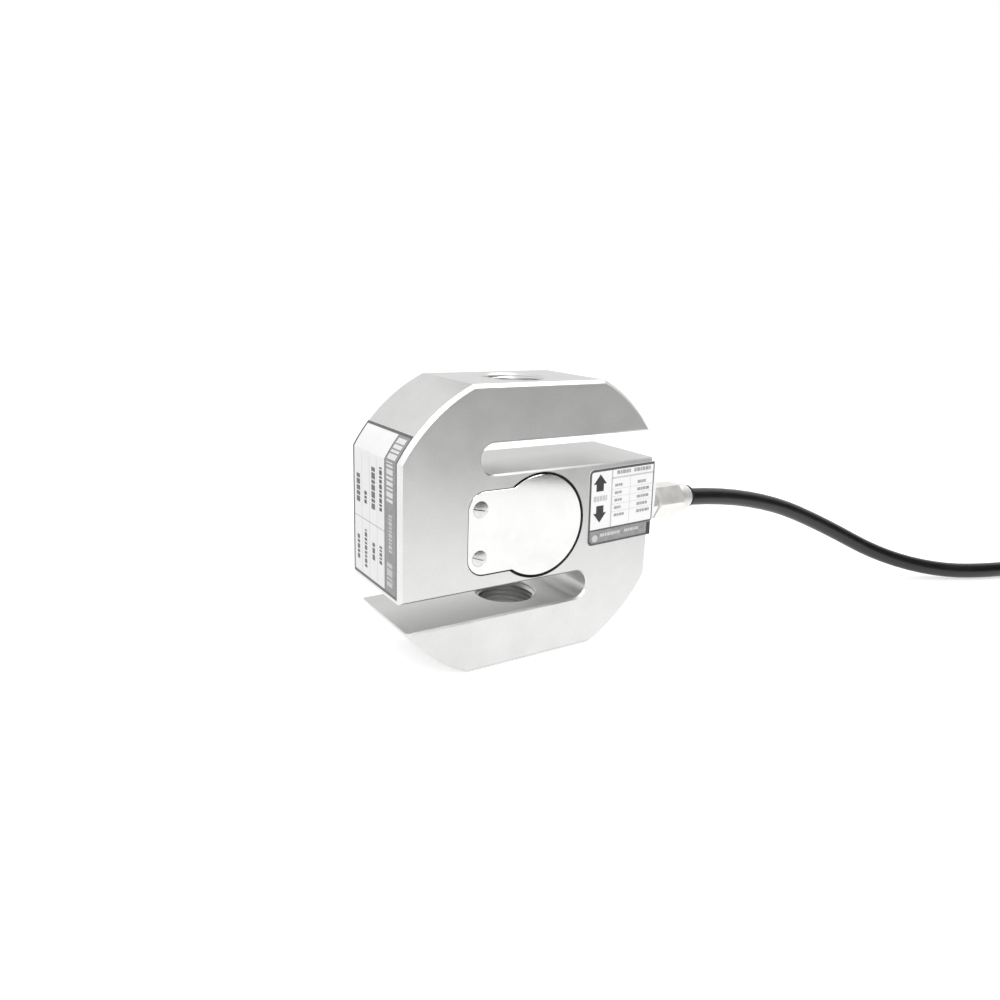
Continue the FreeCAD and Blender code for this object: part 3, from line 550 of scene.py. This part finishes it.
def makeRatingPrint():
    r, inset = rating, ink["inset"]
    half, bottom, top = r["halfWidth"], r["bottom"] + 0.1, r["fold"] + r["rise"]
    band, edge = half - r["bandWidth"], r["border"]
    inks = {name: bmesh.new() for name in ("border", "grey", "dark", "pale", "white")}
    border, grey, pale = inks["border"], inks["grey"], inks["pale"]
    # border, then the band along the front side
    addPlate(border, -half + inset, -half + edge, bottom, top - inset, ink["line"])
    addPlate(border, -half + edge, half - inset, bottom, bottom + edge, ink["line"])
    addPlate(border, -half + edge, half - inset, top - edge, top - inset, ink["line"])
    addPlate(border, half - r["outerEdge"], half - inset, bottom + edge, top - edge, ink["line"])
    addPlate(border, band, band + r["bandEdge"], bottom + edge, top - edge, ink["line"])
    addPlate(grey, band + r["bandEdge"], half - r["outerEdge"], bottom + edge, top - edge, ink["line"])
    # rules of the table
    columnHalf, splitHalf = r["columnRule"] / 2, r["splitRule"] / 2
    for x in r["columnRules"]:
        addPlate(pale, x - columnHalf, x + columnHalf, bottom + edge, r["fold"] - 1.0, ink["line"])
    addPlate(pale, -half + edge, band, r["split"] - splitHalf, r["split"] + splitHalf, ink["line"])
    # print that reads sideways
    for name, x, wide, z0, z1, lengths in r["values"]:
        addDashes(inks[name], x - wide, x + wide, z0, z1, lengths, r["valueGap"], ink["mark"], True)
    for x, z0, z1, lengths in r["titles"]:
        addDashes(border, x - r["titleHalf"], x + r["titleHalf"], z0, z1, lengths, r["titleGap"],
                  ink["mark"], True)
    for name, inner, outer, z0, z1, lengths, gap in r["bandMarks"]:
        addDashes(inks[name], band + inner, half - outer, z0, z1, lengths, gap, ink["over"], True)
    for name, layer, finish in (("ratingBorder", "border", "borderInk"), ("ratingBand", "grey", "greyInk"),
                                ("ratingValues", "dark", "darkInk"), ("ratingRules", "pale", "paleInk"),
                                ("ratingMarks", "white", "whiteInk")):
        foldOntoBody(inks[layer])
        finishMesh(inks[layer], name, finish)


makeRatingPrint()
print("labels printed")

screwCrown = {
    "radius": 2.25, "rise": 0.22, "root": 0.02, "slotHalf": 0.3, "surface": -15.0,
    "rings": 8, "sides": 48,
    "places": [(-18.7, 46.85, 12.0), (-18.7, 33.15, 20.0)],  # x, z and the slot's turn in degrees
}


def crownHalf(x, z, turn, side):
    # a shallow dome, turned about its axis and cut off beside the slot
    c = screwCrown
    ball = (c["radius"] ** 2 + c["rise"] ** 2) / (2 * c["rise"])
    low = math.sqrt(ball ** 2 - c["radius"] ** 2)
    radii = [c["radius"] * i / c["rings"] for i in range(c["rings"] + 1)]
    part = bmesh.new()
    verts = [part.verts.new((r, 0, math.sqrt(ball ** 2 - r ** 2) - low)) for r in radii]
    verts.append(part.verts.new((0, 0, -c["root"])))
    edges = [part.edges.new(pair) for pair in zip(verts, verts[1:])]
    bmesh.ops.spin(part, geom=verts + edges, cent=(0, 0, 0), axis=(0, 0, 1), angle=math.tau,
                   steps=c["sides"], use_merge=True, use_duplicate=False)
    bmesh.ops.remove_doubles(part, verts=part.verts, dist=0.001)
    bmesh.ops.bisect_plane(part, geom=part.verts[:] + part.edges[:] + part.faces[:], dist=1e-5,
                           plane_co=(0, side * c["slotHalf"], 0), plane_no=(0, side, 0), clear_inner=True)
    bmesh.ops.holes_fill(part, edges=[e for e in part.edges if e.is_boundary], sides=0)
    bmesh.ops.recalc_face_normals(part, faces=part.faces)
    for angle, axis in ((math.pi / 2, "X"), (math.radians(turn), "Y")):
        bmesh.ops.rotate(part, cent=(0, 0, 0), matrix=Matrix.Rotation(angle, 3, axis), verts=part.verts)
    bmesh.ops.translate(part, vec=(x, c["surface"], z), verts=part.verts)
    data = bpy.data.meshes.new("crownHalf")
    part.to_mesh(data)
    part.free()
    return data


def makeScrewCrowns():
    # the front heads stand up as shallow domes, split by the slot
    bm = bmesh.new()
    for place in screwCrown["places"]:
        for side in (1, -1):
            data = crownHalf(*place, side)
            bm.from_mesh(data)
            bpy.data.meshes.remove(data)
    finishMesh(bm, "screwCrowns", "platedSteel", 30.0)


makeScrewCrowns()
print("screws crowned")


# places and sizes of the studio are in metres
studio = {
    "floorSize": 6.0, "floorDrop": 0.0004, "floorColour": "#D6D6D6", "floorGlow": 0.54,
    "world": 0.7, "white": "#FFFFFF",
    "lights": [
        # name, place, aim, width, height, power
        ("keyLight", (-0.5, -1.0, 1.05), (0, 0, 0.04), 0.8, 0.8, 9.0),
        ("topLight", (0.45, -0.15, 1.2), (0, 0, 0.04), 0.8, 0.8, 5.0),
    ],
    "cards": [
        # name, place, aim, width, height, colour
        ("darkCard", (0.26, -0.38, 0.31), (0, 0, 0.16), 1.0, 0.60, "#383838"),
        ("lowCard", (0.132, -0.190, 0.017), (0, 0, 0.017), 0.3, 0.030, "#181818"),
        ("highCard", (0.30, 0.45, 0.75), (0, 0, 0.08), 0.7, 0.5, "#9C9C9C"),
    ],
}


def shownRays(tree):
    # what the camera sees directly, in metal and through clear plastic
    path = addNode(tree, "ShaderNodeLightPath")
    some = addNode(tree, "ShaderNodeMath", {"operation": "MAXIMUM"},
                   {0: path.outputs["Is Camera Ray"], 1: path.outputs["Is Glossy Ray"]})
    return addNode(tree, "ShaderNodeMath", {"operation": "MAXIMUM"},
                   {0: some.outputs[0], 1: path.outputs["Is Transmission Ray"]}).outputs[0]


def turned(place, aim):
    return (Vector(aim) - Vector(place)).to_track_quat("-Z", "Y")


def makePlane(name, width, height, material):
    bm = bmesh.new()
    bmesh.ops.create_grid(bm, x_segments=1, y_segments=1, size=0.5)
    bmesh.ops.scale(bm, vec=(width, height, 1), verts=bm.verts)
    data = bpy.data.meshes.new(name)
    bm.to_mesh(data)
    bm.free()
    data.materials.append(material)
    piece = bpy.data.objects.new(name, data)
    bpy.context.scene.collection.objects.link(piece)
    return piece


def makeFloor():
    material, tree, shader = newMaterial("paleFloor")
    shader.inputs["Base Color"].default_value = linear(studio["floorColour"])
    shader.inputs["Roughness"].default_value = 0.9
    shader.inputs["Specular IOR Level"].default_value = 0.1
    shader.inputs["Emission Color"].default_value = linear(studio["white"])
    glow = addNode(tree, "ShaderNodeMath", {"operation": "MULTIPLY"},
                   {0: shownRays(tree), 1: studio["floorGlow"]})
    tree.links.new(glow.outputs[0], shader.inputs["Emission Strength"])
    floor = makePlane("studioFloor", studio["floorSize"], studio["floorSize"], material)
    floor.location.z = -studio["floorDrop"]


def makeCards():
    # cards that the metal mirrors, in no view themselves and without a shadow
    for name, place, aim, width, height, colour in studio["cards"]:
        material, tree, shader = newMaterial(name)
        shader.inputs["Base Color"].default_value = linear(colour)
        shader.inputs["Roughness"].default_value = 0.9
        card = makePlane(name, width, height, material)
        card.location = place
        card.rotation_mode = "QUATERNION"
        card.rotation_quaternion = turned(place, aim)
        card.visible_camera = False
        card.visible_diffuse = False
        card.visible_shadow = False


def makeLights():
    for name, place, aim, width, height, power in studio["lights"]:
        data = bpy.data.lights.new(name, "AREA")
        data.shape, data.size, data.size_y, data.energy = "RECTANGLE", width, height, power
        piece = bpy.data.objects.new(name, data)
        piece.location = place
        piece.rotation_mode = "QUATERNION"
        piece.rotation_quaternion = turned(place, aim)
        bpy.context.scene.collection.objects.link(piece)


def makeWorld():
    world = bpy.data.worlds.new("softRoom")
    world.use_nodes = True
    tree = world.node_tree
    tree.nodes.clear()
    white = linear(studio["white"])
    room = addNode(tree, "ShaderNodeBackground", None, {"Color": white, "Strength": studio["world"]})
    plain = addNode(tree, "ShaderNodeBackground", None, {"Color": white, "Strength": 1.0})
    mix = addNode(tree, "ShaderNodeMixShader", None,
                  {0: shownRays(tree), 1: room.outputs[0], 2: plain.outputs[0]})
    addNode(tree, "ShaderNodeOutputWorld", None, {"Surface": mix.outputs[0]})
    bpy.context.scene.world = world


makeFloor()
makeCards()
makeLights()
makeWorld()
bpy.context.scene.view_settings.view_transform = "Standard"
print("studio lit")
